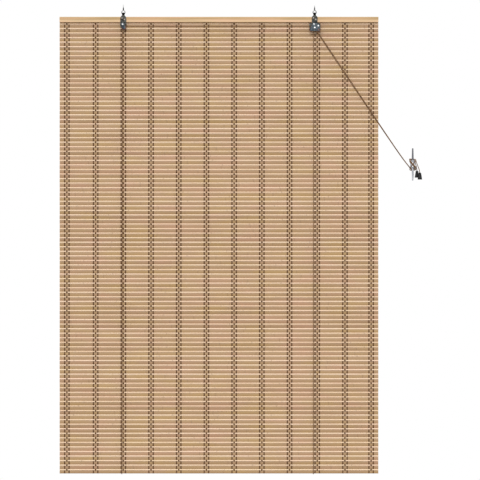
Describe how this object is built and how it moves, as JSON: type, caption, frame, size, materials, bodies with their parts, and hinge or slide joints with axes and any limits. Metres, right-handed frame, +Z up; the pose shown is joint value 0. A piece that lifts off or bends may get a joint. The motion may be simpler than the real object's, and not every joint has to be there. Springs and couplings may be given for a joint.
{
  "type": "bamboo roll up blind",
  "caption": "Hanging bamboo blind of woven slats and sticks under a wooden rail, with cord sheaves, looped lift cords and a wall cleat that holds the pull cords.",
  "frame": {"origin": "midway between the two screw eyes, in the plane of the ceiling that they screw into", "axes": "+X to the viewer's right along the rail, +Y back to the wall behind the blind, +Z up"},
  "size_m": [1.1371, 0.0346, 1.4754],
  "materials": {
    "rail_wood": "satin",
    "bamboo": "satin",
    "warp_yarn": "matte",
    "zinc_wire": "satin",
    "dark_steel": "satin",
    "bright_steel": "polished",
    "brown_plastic": "gloss",
    "cord": "matte",
    "cleat_zinc": "satin",
    "black_plastic": "gloss"
  },
  "bodies": {
    "blind": {"head_rail": "rail_wood", "slat_mat": "bamboo", "warp_yarns_01": "warp_yarn", "warp_yarns_02": "warp_yarn", "warp_yarns_03": "warp_yarn", "warp_yarns_04": "warp_yarn", "warp_yarns_05": "warp_yarn", "warp_yarns_06": "warp_yarn", "warp_yarns_07": "warp_yarn", "warp_yarns_08": "warp_yarn", "warp_yarns_09": "warp_yarn", "warp_yarns_10": "warp_yarn", "warp_yarns_11": "warp_yarn", "warp_yarns_12": "warp_yarn", "left_screw_eye": "zinc_wire", "right_screw_eye": "zinc_wire", "mat_staples": "zinc_wire", "left_cord_anchor": "zinc_wire", "right_cord_anchor": "zinc_wire", "left_hanger_plate": "dark_steel", "right_hanger_plate": "dark_steel", "left_front_cheek": "dark_steel", "right_front_cheek": "dark_steel", "left_plate_screws": "bright_steel", "right_plate_screws": "bright_steel", "left_axle": "bright_steel", "right_axle": "bright_steel", "guide_axle": "bright_steel", "inner_axle": "bright_steel", "left_spacer_rivet": "bright_steel", "right_spacer_rivets": "bright_steel", "left_lift_cord": "cord", "right_lift_cord": "cord", "left_pull_cord": "cord", "right_pull_cord": "cord", "cleat_winding": "cord", "left_cord_tail": "cord", "right_cord_tail": "cord", "cleat": "cleat_zinc", "left_tassel": "black_plastic", "right_tassel": "black_plastic"},
    "left_sheave": {"left_sheave": "brown_plastic"},
    "right_rear_sheave": {"right_rear_sheave": "brown_plastic"},
    "right_front_sheave": {"right_front_sheave": "brown_plastic"},
    "guide_roller": {"guide_roller": "brown_plastic"},
    "inner_roller": {"inner_roller": "brown_plastic"}
  },
  "joints": [
    {"name": "left_sheave_spin", "type": "hinge", "parent": "blind", "child": "left_sheave", "pos_m": [-0.2981, 0, -0.0593], "axis": [0, 1, 0], "continuous": true},
    {"name": "right_rear_sheave_spin", "type": "hinge", "parent": "blind", "child": "right_rear_sheave", "pos_m": [0.3003, 0, -0.0593], "axis": [0, 1, 0], "continuous": true},
    {"name": "right_front_sheave_spin", "type": "hinge", "parent": "blind", "child": "right_front_sheave", "pos_m": [0.3003, 0, -0.0593], "axis": [0, 1, 0], "continuous": true},
    {"name": "guide_roller_spin", "type": "hinge", "parent": "blind", "child": "guide_roller", "pos_m": [0.3122, 0, -0.06535], "axis": [0, 1, 0], "continuous": true},
    {"name": "inner_roller_spin", "type": "hinge", "parent": "blind", "child": "inner_roller", "pos_m": [0.2884, 0, -0.06535], "axis": [0, 1, 0], "continuous": true}
  ],
  "couplings": [
    {"joint": "right_rear_sheave_spin", "follows": "left_sheave_spin", "ratio": 1},
    {"joint": "right_front_sheave_spin", "follows": "left_sheave_spin", "ratio": 1},
    {"joint": "guide_roller_spin", "follows": "left_sheave_spin", "ratio": -0.58667}
  ]
}
